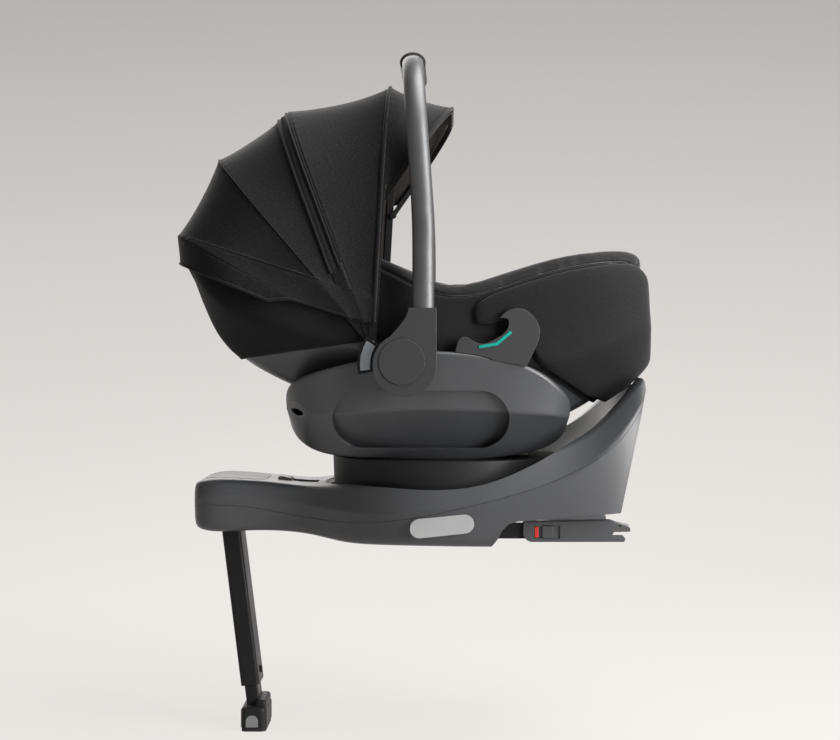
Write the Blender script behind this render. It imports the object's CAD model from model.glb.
# %% [markdown]
# # An infant car seat on its turning base
# The seat is a hard bucket with a rocker under it, a swing handle, a folding canopy and soft covers.
# It clips on a turntable base that stands on a load leg and holds on to the car's anchor bars with two
# connectors. The hard parts come measured from the CAD model, so this lesson starts from them, gives them
# finishes, and then makes everything that is sewn or stuffed.

# %% Load the measured parts
import math
from collections import namedtuple
from functools import partial

import bmesh
import bpy
import numpy as np
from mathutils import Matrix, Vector, noise
from mathutils.bvhtree import BVHTree


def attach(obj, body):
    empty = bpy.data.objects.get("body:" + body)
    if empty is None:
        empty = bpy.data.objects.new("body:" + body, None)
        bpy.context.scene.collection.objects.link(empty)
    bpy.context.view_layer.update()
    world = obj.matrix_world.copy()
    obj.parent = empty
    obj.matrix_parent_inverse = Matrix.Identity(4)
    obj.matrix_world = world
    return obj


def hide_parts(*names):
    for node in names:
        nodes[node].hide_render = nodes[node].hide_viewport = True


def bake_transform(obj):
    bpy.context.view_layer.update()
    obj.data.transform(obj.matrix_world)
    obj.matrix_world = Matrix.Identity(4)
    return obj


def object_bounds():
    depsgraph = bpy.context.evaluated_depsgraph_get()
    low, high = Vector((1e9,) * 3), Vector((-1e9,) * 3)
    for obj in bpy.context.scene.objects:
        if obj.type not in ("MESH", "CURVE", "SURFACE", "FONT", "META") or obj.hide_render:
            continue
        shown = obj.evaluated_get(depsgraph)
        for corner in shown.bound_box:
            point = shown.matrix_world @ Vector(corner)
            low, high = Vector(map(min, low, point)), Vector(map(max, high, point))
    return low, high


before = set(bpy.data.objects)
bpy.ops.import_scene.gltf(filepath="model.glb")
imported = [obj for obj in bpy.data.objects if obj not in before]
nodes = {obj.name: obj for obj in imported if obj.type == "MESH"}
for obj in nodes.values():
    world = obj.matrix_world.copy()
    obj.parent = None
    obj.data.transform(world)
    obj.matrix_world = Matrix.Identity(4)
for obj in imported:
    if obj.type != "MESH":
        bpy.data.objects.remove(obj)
cad_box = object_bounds()
MM = 0.001
scene = bpy.context.scene


def new_object(name, data):
    made = bpy.data.objects.new(name, data)
    scene.collection.objects.link(made)
    return made


print("parts:", len(nodes), "box:", [[round(v, 3) for v in corner] for corner in cad_box])

# %% [markdown]
# ## Camera
# The seat is seen straight from its side, from two and a half metres, a little above the middle of the
# base. A long lens keeps the near and far flanks almost the same size. A small lens shift puts the seat
# where it stands in the frame, because tilting the camera would make the handle and the leg lean.

# %% Side camera
FRAME_WIDE = 840  # pixels
PIXEL = 1.4 * MM  # what a pixel covers in the seat's middle plane
CAMERA_AWAY = 2.5
SENSOR = 36.0
SHIFT = (-25, -35)  # pixels
camera = bpy.data.cameras.new("side_camera")
camera.sensor_width = SENSOR
camera.lens = SENSOR * CAMERA_AWAY / (FRAME_WIDE * PIXEL)
camera.shift_x, camera.shift_y = (way / FRAME_WIDE for way in SHIFT)
camera.clip_end = 60.0
camera_object = new_object("side_camera", camera)
camera_object.location = (-0.224, -CAMERA_AWAY, 0.2623)
camera_object.rotation_euler = (math.pi / 2, 0, 0)
scene.camera = camera_object
scene.view_settings.view_transform = "Standard"
print("lens:", round(camera.lens, 1), "mm")

# %% [markdown]
# ## Shader sums
# A finish is a small network of nodes. Writing it as sums keeps it readable, so one class wraps a socket and
# turns `+`, `-` and `*` into Math nodes, and another one holds a material with its main shader.


# %% Sockets that can be added and multiplied
class Wire:
    """An output socket in a tree of shader nodes."""

    def __init__(self, tree, socket):
        self.tree = tree
        self.socket = socket

    def sum(self, operation, *values):
        node = self.tree.nodes.new("ShaderNodeMath")
        node.operation = operation
        for place, value in zip(node.inputs, values):
            plug(self.tree, place, value)
        return Wire(self.tree, node.outputs[0])

    def __add__(self, other):
        return self.sum("ADD", self, other)

    def __sub__(self, other):
        return self.sum("SUBTRACT", self, other)

    def __rsub__(self, other):
        return self.sum("SUBTRACT", other, self)

    def __mul__(self, other):
        return self.sum("MULTIPLY", self, other)

    __radd__ = __add__
    __rmul__ = __mul__

    def wave(self):
        return self.sum("SINE", self)


def plug(tree, place, value):
    """Links a wire or an output to an input, or writes a plain value there."""
    if isinstance(value, Wire):
        value = value.socket
    if isinstance(value, bpy.types.NodeSocket):
        tree.links.new(value, place)
    elif hasattr(place.default_value, "__len__") and len(value) == 3 and len(place.default_value) == 4:
        place.default_value = (*value, 1.0)
    else:
        place.default_value = value


def label(name):
    return name.replace("_", " ").title().replace("Ior", "IOR")


def add_node(tree, kind, settings=(), **inputs):
    """A new node's outputs; inputs go by name, or by number as i0, i1 and so on."""
    made = tree.nodes.new(kind)
    for name, value in dict(settings).items():
        setattr(made, name, value)
    for name, value in inputs.items():
        numbered = name[0] == "i" and name[1:].isdigit()
        plug(tree, made.inputs[int(name[1:]) if numbered else label(name)], value)
    return made.outputs


class Finish:
    """A material: its main shader's settings, and the nodes that vary it."""

    def __init__(self, name, **settings):
        self.material = bpy.data.materials.new(name)
        self.material.use_nodes = True
        self.tree = self.material.node_tree
        self.shader = self.tree.nodes["Principled BSDF"]
        self.set(**settings)

    def set(self, **settings):
        for name, value in settings.items():
            plug(self.tree, self.shader.inputs[label(name)], value)

    def node(self, kind, settings=(), output=0, **inputs):
        return Wire(self.tree, add_node(self.tree, "ShaderNode" + kind, settings, **inputs)[output])

    def places(self):
        return self.node("TexCoord", output="Object")

    def speckle(self, scale, detail=2.0, where=None):
        return self.node("TexNoise", vector=where or self.places(), scale=scale, detail=detail)

    def streaks(self, scale, where=None):
        """Noise that is drawn out along an axis."""
        return self.speckle(1.0, 2.0, self.node("Mapping", vector=where or self.places(), scale=scale))

    def blend(self, share, first, second):
        return self.node("Mix", {"data_type": "RGBA"}, 2, i0=share, i6=first, i7=second)

    def ramp(self, value, low, high, to_low=0.0, to_high=1.0):
        return self.node("MapRange", {"clamp": True}, i0=value, i1=low, i2=high, i3=to_low, i4=to_high)

    def coat(self, paint, gloss, height, depth, strength, **onto):
        """Colour, roughness and bumps of a depth in millimetres, on another normal if one is given."""
        bumps = self.node("Bump", height=height, distance=depth * MM, strength=strength, **onto)
        self.set(base_color=paint, roughness=gloss, normal=bumps)
        return self


def scaled(colour, share, more=0.0):
    """A darker or paler colour."""
    return tuple(min(1.0, share * c + more) for c in colour)


print("shader sums ready")

# %% [markdown]
# ## Floor and light
# The seat stands in a studio: pale warm paper runs along the floor and curves up behind it, so no line
# shows where the wall begins. The camera and shiny surfaces see it mostly as a painted tone that darkens
# upwards. The rest of it is lit and keeps the shadows. It throws back less light than real paper, so the
# seat's underside stays dark, and from behind it is clear. One big soft lamp hangs over the seat, a tall one
# at the right draws the long highlight on the handle, and two fill the near and far side. The sky is dim
# and looks pale to the camera and shiny surfaces only. A colour then looks about as it is written.


# %% Paper sweep
def mesh_object(name, points, faces, material=None):
    """A new smooth piece from plain lists."""
    data = bpy.data.meshes.new(name)
    data.from_pydata([tuple(p) for p in points], [], faces)
    data.validate()
    if material:
        data.materials.append(material)
    smooth(data)
    return new_object(name, data)


def smooth(data):
    data.polygons.foreach_set("use_smooth", [True] * len(data.polygons))


def grid_faces(rows, columns, closed=False):
    """Quads between the points of a grid, closed round its columns when asked."""
    index = np.arange(rows * columns).reshape(rows, columns)
    if closed:
        index = np.concatenate([index, index[:, :1]], 1)
    corners = index[:-1, :-1], index[:-1, 1:], index[1:, 1:], index[1:, :-1]
    return np.stack(corners, -1).reshape(-1, 4).tolist()


def background_rays(tree):
    """One for rays from the camera, off a shiny surface or through a clear one."""
    path = add_node(tree, "ShaderNodeLightPath")
    kinds = ("Camera", "Glossy", "Transmission")
    straight, shiny, clear = (Wire(tree, path[f"Is {kind} Ray"]) for kind in kinds)
    return straight + shiny + clear


FLOOR_Z = cad_box[0][2]
SWEEP_Y, SWEEP_RADIUS, SWEEP_STEPS = 1.5, 1.4, 24
SWEEP_NEAR, SWEEP_TOP, SWEEP_HALF = -5.0, 6.0, 7.0
PAPER_WARMTH = (1.0, 0.965, 0.93)
PAINTED_SHARE = 0.91
HELD_BACK = 0.6  # share of the paper's bounced light that the dim tone replaces
DIM_TONE = (0.05, 0.05, 0.05)
side_line = [(SWEEP_NEAR, FLOOR_Z), (SWEEP_Y, FLOOR_Z)]
for step in range(1, SWEEP_STEPS + 1):
    turn = math.pi / 2 * step / SWEEP_STEPS
    out, up = SWEEP_RADIUS * math.sin(turn), SWEEP_RADIUS * (1 - math.cos(turn))
    side_line.append((SWEEP_Y + out, FLOOR_Z + up))
side_line.append((SWEEP_Y + SWEEP_RADIUS, SWEEP_TOP))
sweep_points = [(x, y, z) for y, z in side_line for x in (-SWEEP_HALF, SWEEP_HALF)]
paper = Finish("studio_paper", base_color=(0.80, 0.785, 0.765), roughness=0.9, specular_ior_level=0.1)
height = paper.node("SeparateXYZ", output="Z", vector=paper.places())
shade = paper.ramp(height, -0.28, 0.37, 0.83, 0.69) + paper.ramp(height, 0.37, 1.25, 0.0, -0.215)
glow = paper.node("Emission", color=paper.blend(shade, (0.0, 0.0, 0.0), PAPER_WARMTH))
layers = (
    (PAINTED_SHARE * background_rays(paper.tree), glow),
    (HELD_BACK * paper.node("LightPath", output="Is Diffuse Ray"), paper.node("Emission", color=DIM_TONE)),
    (paper.node("NewGeometry", output="Backfacing"), paper.node("BsdfTransparent")),
)
mixed = Wire(paper.tree, paper.shader.outputs[0])
for share, layer in layers:
    mixed = paper.node("MixShader", i0=share, i1=mixed, i2=layer)
plug(paper.tree, paper.tree.nodes["Material Output"].inputs["Surface"], mixed)
sweep = mesh_object("paper_sweep", sweep_points, grid_faces(len(side_line), 2), paper.material)
print("floor at", round(FLOOR_Z, 4))

# %% Lamps and world
WARM_WHITE = (1.0, 0.985, 0.965)
DIM_SKY, PALE_SKY = (0.068, 0.0695, 0.073), (0.48, 0.465, 0.445)
SEAT_MIDDLE = (-0.25, 0, 0.2)
LAMPS = {
    # name: place, aim, size and watts
    "overhead_lamp": ((0.55, -0.25, 1.9), (-0.1, 0.05, 0.1), (1.6, 1.2), 66),
    "right_lamp": ((1.05, -0.9, 0.5), (0.1, 0, 0.15), (0.8, 1.4), 56),
    "near_fill": ((-1.5, -2.6, 0.8), SEAT_MIDDLE, (1.6, 1.6), 0.8),
    "far_fill": ((-0.9, 1.7, 1.2), SEAT_MIDDLE, (1.6, 1.6), 22),
}
for name, (place, aim, size, watts) in LAMPS.items():
    lamp = bpy.data.lights.new(name, "AREA")
    lamp.shape = "RECTANGLE"
    lamp.size, lamp.size_y = size
    lamp.energy = watts
    lamp.color = WARM_WHITE
    hung = new_object(name, lamp)
    hung.location = place
    hung.rotation_euler = (Vector(aim) - Vector(place)).to_track_quat("-Z", "Y").to_euler()
world = bpy.data.worlds.new("studio_world")
world.use_nodes = True
scene.world = world
tree = world.node_tree
seen = background_rays(tree)
sky = add_node(tree, "ShaderNodeMix", {"data_type": "RGBA"}, i0=seen, i6=DIM_SKY, i7=PALE_SKY)[2]
plug(tree, tree.nodes["Background"].inputs["Color"], sky)

# %% [markdown]
# ## Moulded plastics
# Nearly all hard parts are injection moulded. The tool gives them a fine spark-eroded grain, hands polish
# their edges, and the colour is never quite even. So each plastic has a fine bump, a slow cloud in colour
# and gloss, and a mask of its edges. The mask compares the true normal with one that is rounded over a
# millimetre, and the same rounded normal lets sharp edges catch the light as a real moulding's do.


# %% Moulded plastic
def rounded_edges(made, radius, low, high):
    """A normal rounded over a radius in millimetres, and a mask of the edges."""
    rounded = made.node("Bevel", {"samples": 4}, radius=radius * MM)
    straight = made.node("NewGeometry", output="Normal")
    along = made.node("VectorMath", {"operation": "DOT_PRODUCT"}, "Value", i0=rounded, i1=straight)
    return rounded, made.ramp(1.0 - along, low, high)


def moulded(name, colour, roughness, grain=1500.0, depth=0.05, worn=0.35, **more):
    """Plastic with grain (bumps per metre and depth in millimetres) and polished edges."""
    made = Finish(name, **more)
    rounded, edge = rounded_edges(made, 1.1, 0.015, 0.22)
    cloud = made.speckle(11.0, 3.0)
    grains = made.speckle(grain, 1.5)
    paint = made.blend(made.ramp(cloud, 0.3, 0.7), scaled(colour, 0.86), scaled(colour, 1.1))
    paint = made.blend(edge * worn, paint, scaled(colour, 1.25, 0.012))
    gloss = made.ramp(cloud + 0.35 * (grains - 0.5), 0.25, 0.75, roughness + 0.06, roughness - 0.05)
    return made.coat(paint, gloss - 0.10 * edge, grains, depth, 0.8, normal=rounded)


def dress(finish, names):
    """Gives CAD parts their finish."""
    for name in names.split():
        for slot in nodes[name].material_slots:
            slot.material = finish.material


dress(
    moulded("charcoal_moulding", (0.046, 0.0482, 0.0525), 0.39),
    "base_lower_shell base_upper_shell rocker_base carrier_shell"
    " connector_guides connector_heads catch_left catch_right",
)
dress(moulded("hub_moulding", (0.019, 0.0196, 0.0209), 0.46, grain=1900), "handle_hubs hub_caps belt_guides")
dress(
    moulded("black_moulding", (0.011, 0.0113, 0.012), 0.5, specular_ior_level=0.2),
    "turntable leg_guide_sleeve leg_lock_button leg_foot handle_bosses harness_hardware"
    " canopy_bow_rear canopy_bow_middle canopy_bow_front visor_bow",
)
dress(
    moulded("indicator_panel_grey", (0.20, 0.203, 0.208), 0.5, grain=2200, depth=0.03),
    "nose_panel foot_inserts harness_adjuster",
)
dress(moulded("release_button_grey", (0.30, 0.305, 0.31), 0.42, grain=2200, depth=0.02), "release_button")
dress(
    moulded("adjuster_plate_grey", (0.30, 0.304, 0.31), 0.38, grain=2600, depth=0.015),
    "adjuster_button_left adjuster_button_right",
)
dress(
    moulded("crescent_button_grey", (0.33, 0.37, 0.41), 0.4, grain=2600, depth=0.015),
    "handle_release_left handle_release_right",
)
dress(
    moulded("indicator_red", (0.52, 0.022, 0.018), 0.3, grain=2600, depth=0.01, worn=0.1),
    "indicator_left indicator_right buckle_button",
)
dress(moulded("belt_marker_teal", (0.0, 0.24, 0.20), 0.32, grain=2600, depth=0.01, worn=0.1), "belt_markers")
dress(moulded("bearing_ring_white", (0.62, 0.615, 0.60), 0.3, grain=800, depth=0.01, worn=0.1), "thrust_ring")
print("plastics:", sum("moulding" in m.name or "grey" in m.name for m in bpy.data.materials))

# %% [markdown]
# ## Metals and rubber
# The handle is an extruded oval tube with a satin dark coating that still looks like metal, so its highlight
# runs in one long soft streak. The leg and the connector arms are steel under black powder paint, which has
# a fine orange-peel skin. Plated pins and claws are brighter, with faint brushing along one axis.


# %% Coated tube, painted steel, plated steel and rubber
def coated_tube(name, colour, roughness):
    """Satin coating with very fine streaks along the tube."""
    made = Finish(name, metallic=0.75)
    streaks = made.streaks((900.0, 900.0, 12.0))
    cloud = made.speckle(14.0, 3.0)
    paint = made.blend(made.ramp(cloud, 0.3, 0.7), scaled(colour, 0.9), scaled(colour, 1.08))
    gloss = made.ramp(streaks + cloud, 0.6, 1.4, roughness + 0.04, roughness - 0.04)
    return made.coat(paint, gloss, streaks, 0.004, 0.5)


def powder_paint(name, colour, roughness):
    """Powder paint on steel: a low orange-peel skin and rubbed edges."""
    made = Finish(name, specular_ior_level=0.16)
    rounded, edge = rounded_edges(made, 0.9, 0.02, 0.25)
    peel = made.speckle(520.0, 1.0)
    cloud = made.speckle(16.0, 3.0)
    paint = made.blend(edge * 0.4, colour, scaled(colour, 1.6, 0.02))
    gloss = made.ramp(cloud, 0.3, 0.7, roughness + 0.05, roughness - 0.05)
    return made.coat(paint, gloss, peel, 0.03, 0.7, normal=rounded)


def plated_steel(name, colour, roughness):
    """Bright plating with brushing along X."""
    made = Finish(name, metallic=1.0)
    brushed = made.streaks((30.0, 1500.0, 1500.0))
    stain = made.speckle(35.0, 4.0)
    paint = made.blend(made.ramp(stain, 0.45, 0.75), colour, scaled(colour, 0.72))
    gloss = made.ramp(brushed, 0.2, 0.8, roughness - 0.07, roughness + 0.07)
    return made.coat(paint, gloss, brushed, 0.006, 0.6)


def soft_rubber(name, colour, roughness):
    """Matte rubber with a dusty bloom."""
    made = Finish(name, specular_ior_level=0.35)
    pores = made.speckle(1800.0, 2.0)
    bloom = made.speckle(22.0, 4.0)
    paint = made.blend(made.ramp(bloom, 0.4, 0.8), colour, scaled(colour, 1.5, 0.006))
    gloss = made.ramp(bloom, 0.3, 0.7, roughness - 0.05, roughness + 0.05)
    return made.coat(paint, gloss, pores, 0.04, 0.8)


dress(coated_tube("handle_satin_coat", (0.092, 0.0938, 0.0975), 0.47), "handle_bar")
dress(
    powder_paint("leg_black_paint", (0.011, 0.0113, 0.012), 0.42),
    "leg_outer_tube leg_inner_tube connector_frame chassis_plate",
)
dress(
    plated_steel("zinc_plating", (0.56, 0.56, 0.55), 0.34),
    "swivel_retainer lock_hooks leg_hinge carrier_pins claw_left claw_right",
)
dress(soft_rubber("grip_rubber", (0.020, 0.020, 0.021), 0.62), "handle_grip")
dress(soft_rubber("sole_rubber", (0.014, 0.014, 0.0145), 0.75), "foot_sole")
print("finishes:", len(bpy.data.materials))

# %% [markdown]
# ## Cloths
# The outside is a near-black polyester with a slight heather: single paler fibres among dark ones, and a
# soft sheen at grazing angles. The canopy is lined with a brownish warp-knit mesh, the padding is covered
# in a soft knit, and the harness is ribbed webbing. The patterns follow a UV map called `cloth`, laid out
# in metres, so threads keep their size on every piece.


# %% Woven, knitted and ribbed cloths
def threads(made, pitch):
    """Waves across and along the cloth, at a pitch in millimetres, and its map."""
    cloth = made.node("UVMap", {"uv_map": "cloth"})
    turns = math.tau / (pitch * MM)
    across, along = ((made.node("SeparateXYZ", output=axis, vector=cloth) * turns).wave() for axis in "XY")
    return across, along, cloth


def heather_cloth(name, colour, fleck, pitch=1.0, depth=0.10, sheen=0.30, share=0.55):
    """Plain weave with paler fibres strewn in it."""
    made = Finish(name, sheen_weight=sheen, sheen_roughness=0.35, specular_ior_level=0.18)
    across, along, cloth = threads(made, pitch)
    weave = 0.5 + 0.5 * (across * along)
    slubs = made.streaks((900.0, 260.0, 1.0), cloth)
    cloud = made.speckle(7.0, 3.0)
    pale = made.ramp(slubs, share - 0.05, share + 0.2)
    paint = made.blend(pale * 0.75 + 0.25 * weave, colour, fleck)
    paint = made.blend(made.ramp(cloud, 0.35, 0.75) * 0.35, paint, scaled(colour, 0.6))
    gloss = made.ramp(slubs, 0.3, 0.7, 0.92, 0.78)
    return made.coat(paint, gloss, weave + 0.6 * slubs, depth, 0.6)


def mesh_knit(name, colour, hole, pitch=2.6):
    """Open warp-knit lining: rows of small dark holes."""
    made = Finish(name, sheen_weight=0.2, sheen_roughness=0.5, specular_ior_level=0.15)
    across, along, _ = threads(made, pitch)
    fuzz = made.speckle(900.0, 2.0)
    open_part = made.ramp(across * along + 0.25 * (fuzz - 0.5), 0.35, 0.6)
    paint = made.blend(open_part, colour, hole)
    return made.coat(paint, made.ramp(fuzz, 0.3, 0.7, 0.8, 0.95), 1.0 - open_part, 0.25, 0.7)


def ribbed_webbing(name, colour, pitch=1.4):
    """Belt webbing: ribs along it and a fine cross weave."""
    made = Finish(name, sheen_weight=0.15, sheen_roughness=0.3, specular_ior_level=0.3)
    across, along, _ = threads(made, pitch)
    weave = (0.5 + 0.5 * across) * 0.7 + 0.3 * (0.5 + 0.5 * along)
    dust = made.speckle(60.0, 4.0)
    paint = made.blend(weave, scaled(colour, 0.55), colour)
    return made.coat(paint, made.ramp(dust, 0.3, 0.7, 0.55, 0.7), weave, 0.2, 0.8)


canopy_cloth = heather_cloth("canopy_cloth", (0.0055, 0.0055, 0.0065), (0.021, 0.021, 0.023), sheen=0.18)
cover_cloth = heather_cloth(
    "cover_cloth", (0.0045, 0.0045, 0.0053), (0.014, 0.014, 0.0155), 0.8, 0.08, 0.10, 0.6
)
pad_cloth = heather_cloth("padding_knit", (0.010, 0.010, 0.011), (0.026, 0.026, 0.028), 1.3, 0.14, 0.3)
piping_cloth = heather_cloth("piping_tape", (0.007, 0.007, 0.008), (0.02, 0.02, 0.022), 0.7, 0.06, 0.25, 0.62)
lining = mesh_knit("canopy_lining", (0.030, 0.024, 0.021), (0.008, 0.0065, 0.006))
webbing = ribbed_webbing("harness_webbing", (0.020, 0.020, 0.022))
thread = Finish("sewing_thread", roughness=0.6, specular_ior_level=0.3)
twist = thread.speckle(2400.0, 1.0)
thread.set(base_color=thread.blend(twist, (0.010, 0.010, 0.011), (0.034, 0.034, 0.036)))
print("cloths:", [m.name for m in bpy.data.materials if "cloth" in m.name])

# %% [markdown]
# ## Canopy
# The canopy is one skin over three flat bows that fan out from a pin on each flank. Each bow line is a hoop:
# up one side, round a corner, across the top and down again. Cloth between two bows is pulled tight both
# ways, so it dips a little between them. One function gives a point of that skin, from how far it lies
# between two bows and how far along them, and every panel, band and piping is sampled from it, so they fit.

# %% Points of the skin
PIVOT = (-318.0, 252.0)  # X and Z of the pin
CANOPY_MIDDLE = (PIVOT[0], 0.0, 330.0)
# Each line is its angle from upright, radius, half width, corner and lower end, in millimetres.
FRONT = (3.3, 347.0, 194.4, 130.0, 23.0)
MIDDLE = (-20.5, 335.0, 194.4, 130.0, 29.0)
REAR = (-40.7, 326.0, 194.4, 125.0, 43.0)
RIM = (-61.4, 301.0, 190.5, 100.0, 118.0)
HEM = (-67.7, 281.0, 189.0, 95.0, 118.0)
VISOR_AT = (-302.0, 442.0)
VISOR = (35.1, 153.0, 194.0, 105.0, 20.0)
FRONT_TOP = (3.6, 347.0, 194.4, 130.0, 205.0)
HOOP_END = 5  # side, corner, top, corner and side


def hoop_at(line, q, at=PIVOT):
    """Points on a bow line; q is how far along its five parts they lie."""
    angle, radius, half, corner, start = line
    q = np.asarray(q, float)
    far = q > HOOP_END / 2
    r = np.where(far, HOOP_END - q, q)
    up = np.where(r < 1, start + (radius - corner - start) * r, radius - corner)
    turn = np.clip(r - 1, 0, 1) * math.pi / 2
    up = np.where(r > 1, radius - corner + corner * np.sin(turn), up)
    out = half - corner + corner * np.cos(turn) - np.clip(r - 2, 0, 0.5) * 2 * (half - corner)
    a = math.radians(angle)
    return np.stack([at[0] + up * math.sin(a), np.where(far, out, -out), at[1] + up * math.cos(a)], -1)


def unit(v):
    return v / np.maximum(np.linalg.norm(v, axis=-1, keepdims=True), 1e-9)


def skin_at(first, second, t, q, dip=0.0, lift=0.0, at=PIVOT):
    """Points of the cloth between two lines, dipped between them and lifted off it, in millimetres."""

    def plain(t, q):
        t = np.asarray(t, float)[..., None]
        return (1 - t) * hoop_at(first, q) + t * hoop_at(second, q, at)

    t, q = np.broadcast_arrays(np.asarray(t, float), np.asarray(q, float))
    step = 1e-3
    along = plain(t, np.clip(q + step, 0, HOOP_END)) - plain(t, np.clip(q - step, 0, HOOP_END))
    gap = plain(np.ones_like(t), q) - plain(np.zeros_like(t), q)
    normal = unit(np.cross(gap, along))
    out = plain(t, q)
    if np.sum(normal * (out - np.array(CANOPY_MIDDLE))) < 0:
        normal = -normal
    wide = np.linalg.norm(gap, axis=-1)
    amount = lift - dip * wide / wide.max() * 4 * t * (1 - t)
    return out + normal * amount[..., None]


# The canopy's lower edge in the side view, as X and Z.
HEM_SIDE = np.array([(-585.0, 360.0), (-422.0, 308.0), (-346.0, 284.6), (-315.0, 275.0)])


def over_hem(points):
    """Height of points over the canopy's lower edge."""
    return points[..., 2] - np.interp(points[..., 0], *HEM_SIDE.T)


def steps(count, low=0.0, high=1.0):
    return np.linspace(low, high, count)


print("front line's top:", hoop_at(FRONT, HOOP_END / 2).round(1))


# %% Grids to pieces
def read(items, name, kind=float, width=3):
    """A named value of all items of a mesh, as rows."""
    flat = np.empty(len(items) * width, kind)
    items.foreach_get(name, flat)
    return flat.reshape(-1, width) if width > 1 else flat


def lay_map(data, across, along):
    """Writes the cloth map from one pair of numbers in metres for each corner of a face."""
    layer = data.uv_layers.get("cloth") or data.uv_layers.new(name="cloth")
    layer.data.foreach_set("uv", np.stack([across, along], -1).ravel())


def cloth_map(piece, across, along):
    """Lays a cloth map over a piece, from one pair of numbers in millimetres for each vertex."""
    index = read(piece.data.loops, "vertex_index", int, 1)
    lay_map(piece.data, np.ravel(across)[index] * MM, np.ravel(along)[index] * MM)


def lengths(points, axis):
    """Running length along one axis of a grid of points."""
    run = np.cumsum(np.linalg.norm(np.diff(points, axis=axis), axis=-1), axis=axis)
    zero = np.zeros_like(np.take(run, [0], axis))
    return np.concatenate([zero, run], axis)


def cloth_piece(name, points, finish, thick, inside=None, centre=CANOPY_MIDDLE, closed=False):
    """A sheet from a grid of points in millimetres, facing away from a centre, with a thickness inwards."""
    rows, columns = points.shape[:2]
    made = mesh_object(name, points.reshape(-1, 3) * MM, grid_faces(rows, columns, closed), finish.material)
    faces = made.data.polygons
    away = (read(faces, "normal") * (read(faces, "center") - np.array(centre) * MM)).sum()
    if away < 0:
        made.data.flip_normals()
    cloth_map(made, lengths(points, 1), lengths(points, 0))
    wall = made.modifiers.new("cloth_thickness", "SOLIDIFY")
    wall.thickness = thick * MM
    wall.offset = -1.0
    wall.thickness_clamp = 1.0
    if inside:
        made.data.materials.append(inside.material)
        wall.material_offset = 1
    return made


def grid_area(points):
    """Area of a grid of points in square metres."""
    low, high, beside, across = points[:-1, :-1], points[1:, :-1], points[:-1, 1:], points[1:, 1:]
    a = np.linalg.norm(np.cross(high - low, beside - low), axis=-1)
    b = np.linalg.norm(np.cross(across - high, across - beside), axis=-1)
    return float((a + b).sum() / 2 * MM**2)


CUT_SPARE = 1.02  # the flat rectangle holds at least this many times the cut


def cut_size(points):
    """Width and length of the flat cut that a grid came from, and the grid's area."""
    wide, high = (float(lengths(points, axis).max()) * MM for axis in (1, 0))
    area = grid_area(points)
    high = max(high, CUT_SPARE * area / wide)
    return (round(wide, 4), round(high, 4)), round(area, 6)


def hand_over(made, points, node):
    size, area = cut_size(points)
    if node:
        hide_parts(node)
    print(made.name, "cut", size, "area", area)


print("grids ready")

# %% [markdown]
# ## Panels
# Three panels, the skirt round the back and the visor are cut from the same cloth. Sewn seams pucker, so the
# cloth ripples a little beside each bow, and slow noise keeps the wide parts from looking like sheet metal.
# Each panel bends between the bodies of its two bows. It bends beside the bow that moves, so that a folded
# canopy laps over itself and never opens at a seam.

# %% Canopy panels
COLUMNS = np.concatenate([
    steps(48, 0, 0.98), steps(58, 1, 1.983), steps(40, 2, 2.975), steps(58, 3, 3.983), steps(49, 4, HOOP_END)
])
BAND_HIGH, BAND_LIFT, BAND_STEP = 37.0, 1.7, 0.9
BEND_RADIUS = 120  # how far up a bow the bend is placed
Span = namedtuple("Span", "first second rows dip bend")


def slow_folds(points, size, depth):
    """Smooth noise over points, of a size and depth in millimetres."""
    flat = points.reshape(-1, 3) / size
    return depth * np.array([noise.noise(Vector(p)) for p in flat]).reshape(points.shape[:-1])


def puckers(points, depth=0.3):
    """Small ripples that fade away from the first and the last row of a grid."""
    run, down = lengths(points, 1), lengths(points, 0)
    edge = np.minimum(down, down[-1] - down)
    return depth * np.exp(-edge / 7.0) * np.sin(run / 2.4 + 2.0 * np.sin(run / 37.0))


def bow_turn(line, at, length):
    """Start and end of a bend that is over where the cloth meets a bow line."""
    a = math.radians(line[0])
    end = Vector((at[0] + BEND_RADIUS * math.sin(a), 0, at[1] + BEND_RADIUS * math.cos(a))) * MM
    return end - length * MM * Vector((math.cos(a), 0, -math.sin(a))), end


def doubled_band(points):
    """Extra lift where the cloth is doubled along the hem, in millimetres."""
    return BAND_LIFT / (1 + np.exp(np.clip((over_hem(points) - BAND_HIGH) / BAND_STEP, -30, 30)))


def panel(name, node, first, second, rows, dip, at=PIVOT, low=None):
    """One piece of the canopy's cloth between two lines."""
    t, q = steps(rows)[:, None], COLUMNS[None, :]
    if low:
        t = low(q) + (1 - low(q)) * t
    even = skin_at(first, second, t, q, dip, 0, at)
    uneven = puckers(even) + slow_folds(even, 70.0, 1.0)
    if at == PIVOT:
        uneven = uneven + doubled_band(even)
    points = skin_at(first, second, t, q, dip, uneven, at)
    made = cloth_piece(name, points, canopy_cloth, 1.4, lining)
    hand_over(made, points, node)
    return made


def skirt_start(q):
    """The skirt narrows to nothing at its front ends."""
    return 1 - np.clip(np.minimum(q, HOOP_END - q) / 0.4, 0.02, 1)


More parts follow.
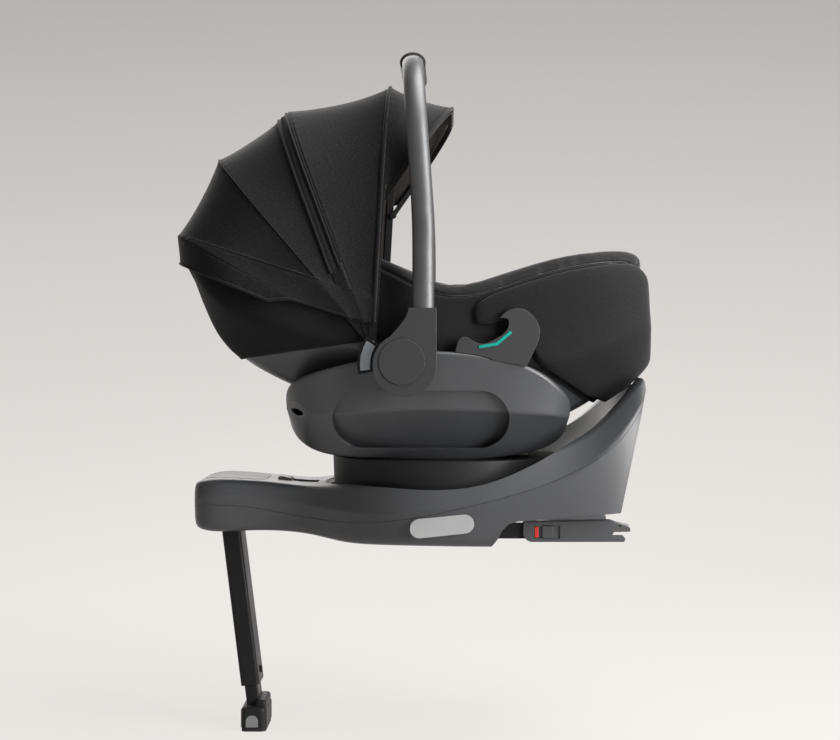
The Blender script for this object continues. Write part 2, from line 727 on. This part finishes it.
spans = {
    "front": Span(MIDDLE, FRONT, 40, 7.0, ("canopy_middle", "canopy_front", *bow_turn(FRONT, PIVOT, 55))),
    "middle": Span(REAR, MIDDLE, 34, 5.0, ("canopy_rear", "canopy_middle", *bow_turn(MIDDLE, PIVOT, 55))),
    "rear": Span(RIM, REAR, 36, 4.0, ("carrier", "canopy_rear", *bow_turn(REAR, PIVOT, 60))),
}
for place, span in spans.items():
    made = panel(f"canopy_{place}_panel", f"canopy_panel_{place}", *span[:4])
    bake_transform(made)
skirt = panel("canopy_back_skirt", "canopy_skirt", HEM, RIM, 14, 0.0, low=skirt_start)
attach(skirt, "carrier")
VISOR_DIP = 4.0
visor_panel = panel("visor_panel", "visor_fabric", FRONT_TOP, VISOR, 34, VISOR_DIP, at=VISOR_AT)
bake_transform(visor_panel)

# %% [markdown]
# ## Hem and piping
# The cloth is doubled along the lower edge, and a fold marks where that band ends. It keeps a steady height
# over the hem, so for each place along a panel its height is found by halving an interval. Cord piping
# closes every edge, and a tube swept along sampled points makes it.


# %% Band and cords
def on_panel(place, t, q, lift=0.0):
    span = spans[place]
    return skin_at(span.first, span.second, t, q, span.dip, lift)


def band_top(place, t, high):
    """How far up the hoop the band reaches at t."""
    low, top = np.zeros_like(t), np.full_like(t, HOOP_END / 2)
    for _ in range(26):
        half = (low + top) / 2
        inside = over_hem(on_panel(place, t, half)) < high
        low, top = np.where(inside, half, low), np.where(inside, top, half)
    return low


def cord(name, points, radius, sides=10):
    """Round piping along points in millimetres."""
    before, after = np.roll(points, 1, 0), np.roll(points, -1, 0)
    before[0], after[-1] = points[0], points[-1]
    along = unit(after - before)
    side = unit(np.cross(along[0], [0.3, 0.5, 0.81]))
    angles = steps(sides + 1, 0, math.tau)[:-1]
    rings = []
    for place, way in zip(points, along):
        side = unit(side - way * (side @ way))
        up = np.cross(way, side)
        rings.append([place + radius * (math.cos(a) * side + math.sin(a) * up) for a in angles])
    places = np.array(rings).reshape(-1, 3) * MM
    made = mesh_object(name, places, grid_faces(len(rings), sides, True), piping_cloth.material)
    run = lengths(points[None], 1)[0]
    cloth_map(made, np.tile(angles * radius, (len(points), 1)), np.repeat(run[:, None], sides, 1))
    shape = bmesh.new()
    shape.from_mesh(made.data)
    bmesh.ops.holes_fill(shape, edges=[e for e in shape.edges if e.is_boundary])
    bmesh.ops.recalc_face_normals(shape, faces=shape.faces)
    shape.to_mesh(made.data)
    shape.free()
    smooth(made.data)
    return made


def bend_with(piece):
    """Lets a piece bend as the panel under it does."""
    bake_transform(piece)


def ride_on(body, piece):
    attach(piece, body)


FOLD_RADIUS, FOLD_LIFT = 0.9, 1.1
HEM_RADIUS, HEM_LIFT, HEM_Q = 2.1, 1.2, 0.005
SIDES = {"near": lambda q: q, "far": lambda q: HOOP_END - q}
band_edges = {}
for place, span in spans.items():
    t = steps(span.rows)
    for side, mirrored in SIDES.items():
        lines = {
            "band_fold": (band_top(place, t, BAND_HIGH + 0.6), FOLD_LIFT, FOLD_RADIUS),
            "hem_piping": (np.full(span.rows, HEM_Q), HEM_LIFT, HEM_RADIUS),
        }
        band_edges[place, side] = mirrored(band_top(place, t, BAND_HIGH - 4.5))
        for kind, (q, lift, radius) in lines.items():
            bend_with(cord(f"{kind}_{place}_{side}", on_panel(place, t, mirrored(q), lift), radius))
hem_line = skin_at(HEM, RIM, skirt_start(COLUMNS), COLUMNS, 0, HEM_LIFT)
ride_on("carrier", cord("hem_piping_back", hem_line, HEM_RADIUS))
print("band folds:", len(band_edges))

# %% [markdown]
# ## Zip, seams and stitches
# A covered zip runs over the canopy just behind its middle bow: a flat tape, a cord along each edge, a coil
# between them and a tab of cloth at each end. Stitches and coil turns repeat along a path, so one Geometry
# Nodes tree lays small rounded bars along any line, with named inputs for their pitch and size. The line
# carries the way out of the cloth as an attribute, which turns each bar flat on the surface.


# %% Rows of small bars
STITCH = {"Pitch": 3.4, "Long": 2.5, "Wide": 0.55, "High": 0.5}
COIL = {"Pitch": 2.0, "Long": 1.3, "Wide": 5.0, "High": 1.3}


def bar_tree():
    """A tree that lays bars of thread along a path."""
    tree = bpy.data.node_groups.new("bars_along_path", "GeometryNodeTree")
    tree.interface.new_socket("Path", in_out="INPUT", socket_type="NodeSocketGeometry")
    for name in STITCH:
        tree.interface.new_socket(name, in_out="INPUT", socket_type="NodeSocketFloat")
    tree.interface.new_socket("Bars", in_out="OUTPUT", socket_type="NodeSocketGeometry")
    node = partial(add_node, tree)
    given = node("NodeGroupInput")
    curve = node("GeometryNodeMeshToCurve", Mesh=given["Path"])
    spots = node("GeometryNodeCurveToPoints", {"mode": "LENGTH"}, Curve=curve[0], Length=given["Pitch"])
    out = node("GeometryNodeInputNamedAttribute", {"data_type": "FLOAT_VECTOR"}, Name="outward")
    upright = node("FunctionNodeAlignRotationToVector", {"axis": "Z"}, Vector=out[0])
    turned = node(
        "FunctionNodeAlignRotationToVector", {"axis": "X", "pivot_axis": "Z"},
        Rotation=upright[0], Vector=spots["Tangent"],
    )
    bar = node("GeometryNodeMeshUVSphere", Segments=6, Rings=4, Radius=0.5)
    size = node("ShaderNodeCombineXYZ", X=given["Long"], Y=given["Wide"], Z=given["High"])
    laid = node(
        "GeometryNodeInstanceOnPoints", Points=spots["Points"], Instance=bar["Mesh"],
        Rotation=turned[0], Scale=size[0],
    )
    real = node("GeometryNodeRealizeInstances", Geometry=laid[0])
    painted = node("GeometryNodeSetMaterial", Geometry=real[0], Material=thread.material)
    node("NodeGroupOutput", Bars=painted[0])
    return tree


BARS = bar_tree()


def baked(made):
    """Applies a piece's modifiers."""
    graph = bpy.context.evaluated_depsgraph_get()
    data = bpy.data.meshes.new_from_object(made.evaluated_get(graph))
    made.modifiers.clear()
    made.data = data


def bar_row(name, points, outward, sizes):
    """Bars along points, as a plain mesh; all sizes are in millimetres."""
    data = bpy.data.meshes.new(name)
    data.from_pydata((points * MM).tolist(), [(i, i + 1) for i in range(len(points) - 1)], [])
    facing = data.attributes.new("outward", "FLOAT_VECTOR", "POINT")
    facing.data.foreach_set("vector", outward.ravel())
    path = new_object(name, data)
    maker = path.modifiers.new("bars", "NODES")
    maker.node_group = BARS
    for item in BARS.interface.items_tree:
        if item.name in sizes:
            maker[item.identifier] = sizes[item.name] * MM
    baked(path)
    return path


print("bar tree:", len(BARS.nodes), "nodes")


# %% Zip over the canopy
def outward(place, t, q):
    return unit(on_panel(place, t, q, 1.0) - on_panel(place, t, q))


def sew(name, place, t, q, lift, keep=slice(None)):
    """A row of stitches on a panel."""
    row = bar_row(name, on_panel(place, t, q, lift)[keep], outward(place, t, q)[keep], STITCH)
    bend_with(row)


def all_over(start, count):
    """Steps along a hoop, from a start on its near side to the same height on its far side."""
    top = [steps(many, q, q + 1)[1:] for q, many in ((1, 60), (2, 30), (3, 60))]
    return np.concatenate([steps(count, start, 1), *top, steps(count, 4, HOOP_END - start)[1:]])


def gap_between(first, second, q):
    """Distance between two bow lines, in millimetres."""
    return np.linalg.norm(hoop_at(first, q) - hoop_at(second, q), axis=-1)


def behind_bow(way, q):
    """Share of the middle panel that lies a way behind its bow, in millimetres."""
    return 1 - way / gap_between(MIDDLE, REAR, q)


def cross_section(ways, lifts, q):
    """A grid on the middle panel: ways behind its bow, and lifts off the cloth."""
    return np.stack([on_panel("middle", behind_bow(w, q), q, lift) for w, lift in zip(ways, lifts)], 1)


zip_q = all_over(0.42, 60)
tape = cross_section(
    (4.0, 4.6, 7.0, 10.0, 13.0, 16.0, 19.4, 20.0), (0.2, 0.9, 1.1, 0.5, 0.5, 1.1, 0.9, 0.2), zip_q
)
zip_tape = cloth_piece("zip_tape", tape, piping_cloth, 0.9)
hand_over(zip_tape, tape, "canopy_zip")
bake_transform(zip_tape)
ZIP_CORDS, ZIP_CORD_RADIUS, ZIP_CORD_LIFT = (5.2, 18.8), 1.5, 1.3
for number, way in enumerate(ZIP_CORDS):
    line = on_panel("middle", behind_bow(way, zip_q), zip_q, ZIP_CORD_LIFT)
    bend_with(cord(f"zip_cord_{number}", line, ZIP_CORD_RADIUS))
coil_way = behind_bow(12.0, zip_q)
coil_line = on_panel("middle", coil_way, zip_q, 0.9)
coil = bar_row("zip_coil", coil_line, outward("middle", coil_way, zip_q), COIL)
bend_with(coil)
TAB_WAYS = (1.0, 1.5, 4.0, 8.0, 12.0, 16.0, 19.5, 20.0)
TAB_PLUMP = np.array([0.8, 2.9, 3.6, 3.9, 3.9, 3.6, 2.9, 0.8])
up = steps(20, 0.26, 0.47)
fold = 1 - 0.5 * np.exp(-(((up - up[-1]) / 0.012) ** 2))
sewn = slice(2, -1)
for side, mirrored in SIDES.items():
    q = mirrored(up)
    tab = cross_section(TAB_WAYS, TAB_PLUMP[:, None] * fold, q)
    zip_tab = cloth_piece(f"zip_tab_{side}", tab, canopy_cloth, 1.2)
    hand_over(zip_tab, tab, None)
    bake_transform(zip_tab)
    sew(f"zip_tab_stitches_{side}", "middle", behind_bow(3.0, q)[sewn], q[sewn], 3.5)
print("zip:", len(coil.data.polygons), "coil faces")

# %% Cords along the bows and stitches beside them
EDGE_LIFT = 0.2
open_q = all_over(0.02, 50)
end = np.ones_like(open_q)
bend_with(cord("rear_bow_cord", on_panel("middle", 0.004 * end, open_q, EDGE_LIFT), 1.1))
bend_with(cord("front_edge_cord", on_panel("front", end, open_q, EDGE_LIFT), 2.4))
edge_gap = gap_between(FRONT, MIDDLE, open_q)
seams = (
    ("front", 1 - 7.0 / edge_gap), ("front", 3.5 / edge_gap), ("middle", 4.0 / edge_gap),
    ("rear", 1 - 4.0 / edge_gap),
)
for number, (place, way) in enumerate(seams):
    sew(f"seam_stitches_{number}", place, np.clip(way, 0, 1), open_q, 0.25, slice(14, -14))
for (place, side), q in band_edges.items():
    sew(f"band_stitches_{place}_{side}", place, steps(len(q)), q, 1.95)
visor_edge = skin_at(FRONT_TOP, VISOR, end, open_q, VISOR_DIP, EDGE_LIFT, VISOR_AT)
ride_on("visor", cord("visor_edge_cord", visor_edge, 2.3))

# %% [markdown]
# ## Fabric over the bucket
# A fitted cover hugs the bucket's flanks and both ends and turns in over its rim. A padded cover lies over
# its foot end. Their shape is the measured one, so rays shot level at the upright middle line find how far
# out the cloth lies at each turn and height. Where a pin or boss goes through, the gap is bridged. A little
# smoothing takes the plate-like creases out, and slow noise lets the cloth breathe.


# %% Rays at the covers
def shape_of(name):
    """A search tree of a CAD part's faces."""
    data = nodes[name].data
    return BVHTree.FromPolygons([v.co for v in data.vertices], [p.vertices for p in data.polygons])


def blur(values, passes, closed=False):
    """Running mean along the columns of a grid."""
    for _ in range(passes):
        before, after = np.roll(values, 1, -1), np.roll(values, -1, -1)
        if not closed:
            before[..., 0], after[..., -1] = values[..., 0], values[..., -1]
        values = (before + 2 * values + after) / 4
    return values


RAY = 0.5  # metres
RAY_STEP = 1.5
END_ROWS = 3  # rows repeated at each end before smoothing up and down


def star_skin(name, centre_x, turns, rows, low, high, passes, closed=False):
    """Heights and distances from an upright line, in rows from the lowest to the highest cloth."""
    tree = shape_of(name)
    heights = np.arange(low, high, RAY_STEP)
    ends, reach = [], []
    for turn in turns:
        way = Vector((math.cos(turn), math.sin(turn), 0))
        found = np.full(len(heights), np.nan)
        for i, z in enumerate(heights):
            start = Vector((centre_x * MM, 0, z * MM)) + RAY * way
            hit, _, _, distance = tree.ray_cast(start, -way, RAY)
            if hit is not None:
                found[i] = (RAY - distance) / MM
        seen = np.flatnonzero(~np.isnan(found))
        ends.append((heights[seen[0]], heights[seen[-1]]))
        reach.append((heights[seen], found[seen]))
    bottom, top = blur(np.array(ends).T, 3, closed)
    z = bottom + (top - bottom) * steps(rows)[:, None]
    out = np.stack([np.interp(z[:, i], *reach[i]) for i in range(len(turns))], 1)
    out = blur(out, passes, closed)
    longer = np.concatenate([out[:1]] * END_ROWS + [out] + [out[-1:]] * END_ROWS)
    return z, blur(longer.T, passes).T[END_ROWS:-END_ROWS]


def star_points(centre_x, turns, z, out):
    turns = np.broadcast_to(turns, z.shape)
    return np.stack([centre_x + out * np.cos(turns), out * np.sin(turns), z], -1)


# %% Fitted cover
COVER_X = -266.0
COVER_LONG, COVER_WIDE = 306, 185  # half axes that spread the turns evenly
SETTLED, LOWER_EDGE, LOWER_TUCK = 0.8, 6.0, 1.6
around = steps(321, 0, math.tau)[:-1]
cover_turns = np.arctan2(COVER_WIDE * np.sin(around), COVER_LONG * np.cos(around))
z, out = star_skin("side_cover", COVER_X, cover_turns, 44, 150, 400, 3, True)
lower = np.exp(-(((z - z[0]) / LOWER_EDGE) ** 2))
found = star_points(COVER_X, cover_turns, z, out)
folds = slow_folds(found, 60.0, 1.3) + slow_folds(found, 23.0, 0.35)
out = out - SETTLED + folds * (1 - lower) - LOWER_TUCK * lower
turned_z = z[-1] + np.array([1.2, 2.0, 2.2, 1.8, 0.8])[:, None]
turned_out = out[-1] - np.array([0.6, 2.4, 4.8, 7.4, 10.0])[:, None]
z, out = np.concatenate([z, turned_z]), np.concatenate([out, turned_out])
cover = star_points(COVER_X, cover_turns, z, out)
fitted_cover = cloth_piece("fitted_cover", cover, cover_cloth, 1.6, centre=(COVER_X, 0, 270), closed=True)
hand_over(fitted_cover, np.concatenate([cover, cover[:, :1]], 1), "side_cover")
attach(fitted_cover, "carrier")

# %% Padded cover at the foot end
MUFF_X, MUFF_ROWS, MUFF_TURN, MUFF_RADIUS = -75.0, 60, 2.11, 150
EVEN_TURN = math.radians(80)
TUCK, TUCK_WAY, FOLD_WAY = 5.0, 5.0, 12.0
BELLY, TOE_RISE = 11.0, 4.0
muff_turns = math.radians(121.0) * np.sin(steps(201, -1, 1) * EVEN_TURN) / math.sin(EVEN_TURN)
z, out = star_skin("foot_cover", MUFF_X, muff_turns, MUFF_ROWS, 160, 370, 4)
rise = steps(MUFF_ROWS)[:, None]
level_edge = np.minimum(rise, 1 - rise) * (z[-1] - z[0])
edge = np.minimum(level_edge, (MUFF_TURN - np.abs(muff_turns)) * MUFF_RADIUS)
toes = np.clip(np.cos(muff_turns), 0, 1) ** 1.5
belly = BELLY * toes * np.sin(math.pi * rise**0.8) ** 0.8
z = z + TOE_RISE * toes * rise**3
found = star_points(MUFF_X, muff_turns, z, out)
folds = slow_folds(found, 75.0, 2.0) + slow_folds(found, 26.0, 0.4)
out = out - TUCK * np.exp(-edge / TUCK_WAY) + belly + folds * (1 - np.exp(-edge / FOLD_WAY))
muff_points = star_points(MUFF_X, muff_turns, z, out)
muff = cloth_piece("foot_muff", muff_points, cover_cloth, 2.4, centre=(MUFF_X, 0, 260))
hand_over(muff, muff_points, "foot_cover")
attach(muff, "carrier")

# %% [markdown]
# ## Stuffed pieces
# The seat's padding, the roll round its rim, the head hugger and the sleeves on the straps are foam in a sewn
# cover. A blown-up shape looks right for that, so each starts as a copy of its CAD block, is wrapped in an
# even net of faces, loses its edges and shrinks a little, and then swells under pressure in a cloth
# simulation. Sides that lie against something stay where they are. Sewn channels are pressed in afterwards,
# because the even net would have swallowed them.

# %% From a block to an even net
Pad = namedtuple("Pad", "part voxel relax shrink swelling held body")


def places_of(data):
    return read(data.vertices, "co")


def facings_of(data):
    return read(data.vertex_normals, "vector")


def put(data, places):
    data.vertices.foreach_set("co", places.ravel())
    data.update()


def soft_copy(name, pad):
    """A rounded, slightly smaller copy of a CAD block with even faces."""
    shape = bmesh.new()
    shape.from_mesh(nodes[pad.part].data)
    bmesh.ops.remove_doubles(shape, verts=shape.verts, dist=0.02 * MM)
    made = mesh_object(name, [], [])
    shape.to_mesh(made.data)
    shape.free()
    net = made.modifiers.new("even_net", "REMESH")
    net.mode, net.voxel_size = "VOXEL", pad.voxel * MM
    soft = made.modifiers.new("soft_edges", "SMOOTH")
    soft.factor, soft.iterations = 0.5, pad.relax
    baked(made)
    put(made.data, places_of(made.data) - pad.shrink * MM * facings_of(made.data))
    return made


def facing_from(way, limit):
    """A test for points that face away from a way by more than a limit."""
    way = np.array(way) / np.linalg.norm(way)
    return lambda at, face: face @ way < limit


def bucket_side(at, face):
    """True where the padding lies against the bucket."""
    return np.sum(face * (LAP - at), -1) < 0.02


LAP = np.array([-0.27, 0, 0.42])
HEAD_OUT, HEAD_ALONG = np.array([0.572, 0, 0.82]), np.array([-0.82, 0, 0.572])
pads = {
    # name: CAD part, voxel, relaxing passes, shrink, most swelling, held side, body
    "seat_padding": Pad("seat_pad", 6.0, 3, 1.5, 4.0, bucket_side, "carrier"),
    "rim_roll_pad": Pad("rim_roll", 4.0, 10, 1.0, 5.0, facing_from((0, 0, 1), -0.4), "carrier"),
    "head_hugger": Pad("headrest", 4.0, 9, 2.0, 6.0, facing_from(HEAD_OUT, -0.5), "headrest"),
    "strap_sleeves": Pad("harness_pads", 2.5, 6, 0.6, 2.0, facing_from((0, 0, 1), -0.5), "carrier"),
}
made_pads = {name: soft_copy(name, pad) for name, pad in pads.items()}
print("nets:", {name: len(piece.data.vertices) for name, piece in made_pads.items()})

# %% Swelling
SWELL_FRAMES = 20
PRESSURE = 4.0


def swell(pieces):
    """Blows all pieces up at once and keeps each point within its allowed way."""
    for piece in pieces.values():
        cloth = piece.modifiers.new("air", "CLOTH")
        cloth.settings.use_pressure = True
        cloth.settings.uniform_pressure_force = PRESSURE
        cloth.settings.effector_weights.gravity = 0.0
        cloth.collision_settings.use_collision = False
        cloth.point_cache.frame_start, cloth.point_cache.frame_end = 1, SWELL_FRAMES
    for step in range(1, SWELL_FRAMES + 1):
        scene.frame_set(step)
    graph = bpy.context.evaluated_depsgraph_get()
    for name, piece in pieces.items():
        at, face = places_of(piece.data), facings_of(piece.data)
        way = places_of(piece.evaluated_get(graph).data) - at
        piece.modifiers.clear()
        far = np.linalg.norm(way, axis=1, keepdims=True)
        way *= np.minimum(1, pads[name].swelling * MM / np.maximum(far, 1e-9))
        way[pads[name].held(at, face)] = 0
        put(piece.data, at + way)
    scene.frame_set(1)


swell(made_pads)
for piece in made_pads.values():
    finer = piece.modifiers.new("finer", "SUBSURF")
    finer.levels = finer.render_levels = 1
    baked(piece)
print("swollen")


# %% Channels, cloth map and hand-over
def groove(distance, depth, wide):
    return depth * MM * np.exp(-((distance / (wide * MM)) ** 2))


def press(piece, amount, free):
    """Pushes points in along their facing."""
    at, face = places_of(piece.data), facings_of(piece.data)
    put(piece.data, at - face * (amount(at) * free(at, face))[:, None])


CHANNELS_X = (-470, -420, -370, -320, -150, -100)
CHANNEL_HALF, HUGGER_HALF = 0.118, 0.056  # metres from the middle to the long seams


def seat_channels(at):
    x, y = at[:, 0], np.abs(at[:, 1])
    cross = sum(groove(x - c * MM, 4.5, 3.6) for c in CHANNELS_X)
    return cross * (y < CHANNEL_HALF) + groove(y - CHANNEL_HALF, 3.0, 3.0)


def hugger_seams(at):
    y, along = np.abs(at[:, 1]), at @ HEAD_ALONG
    cross = groove(along - np.median(along), 2.2, 2.6)
    return groove(y - HUGGER_HALF, 2.6, 2.6) + cross * (y < HUGGER_HALF)


def box_map(data):
    """A cloth map in metres that looks along each face's main direction."""
    main = np.abs(read(data.polygons, "normal")).argmax(1)
    main = np.repeat(main, read(data.polygons, "loop_total", int, 1))
    at = places_of(data)[read(data.loops, "vertex_index", int, 1)]
    lay_map(data, np.where(main == 0, at[:, 1], at[:, 0]), np.where(main == 2, at[:, 1], at[:, 2]))


press(made_pads["seat_padding"], seat_channels, lambda at, face: ~bucket_side(at, face))
press(made_pads["head_hugger"], hugger_seams, lambda at, face: face @ HEAD_OUT > 0.1)
for name, piece in made_pads.items():
    box_map(piece.data)
    piece.data.materials.clear()
    piece.data.materials.append(pad_cloth.material)
    smooth(piece.data)
    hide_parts(pads[name].part)
    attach(piece, pads[name].body)
print("padding:", {name: len(piece.data.polygons) for name, piece in made_pads.items()})

# %% [markdown]
# ## Harness webbing
# Belts are flat, so they are modelled straight: a band with rounded, slightly thicker edges follows the top
# of each CAD strap, found by looking down on it.

# %% Belts
BELT_ACROSS = np.array([-12.5, -12.3, -11.4, -6, 0, 6, 11.4, 12.3, 12.5])
BELT_PROUD = np.array([-0.9, -0.2, 0.0, -0.15, -0.15, -0.15, 0.0, -0.2, -0.9])
BELTS = {
    # name: Y, and the X it runs from and to
    "belt_left": (23, -389, -257), "belt_right": (-23, -389, -257), "belt_crotch": (0, -203, -141),
}
straps = shape_of("harness_straps")
for name, (y, start, stop) in BELTS.items():
    xs = steps(40, start, stop)
    looks = [straps.ray_cast(Vector((x * MM, y * MM, 0.5)), Vector((0, 0, -1))) for x in xs]
    tops = blur(np.array([hit.z / MM for hit, *_ in looks]), 6)
    rows = np.broadcast_arrays(xs[:, None], y + BELT_ACROSS, tops[:, None] + BELT_PROUD)
    points = np.stack(rows, -1)
    made = cloth_piece(name, points, webbing, 1.6, centre=(-270, 0, 0))
    hand_over(made, points, "harness_straps")
    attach(made, "carrier")
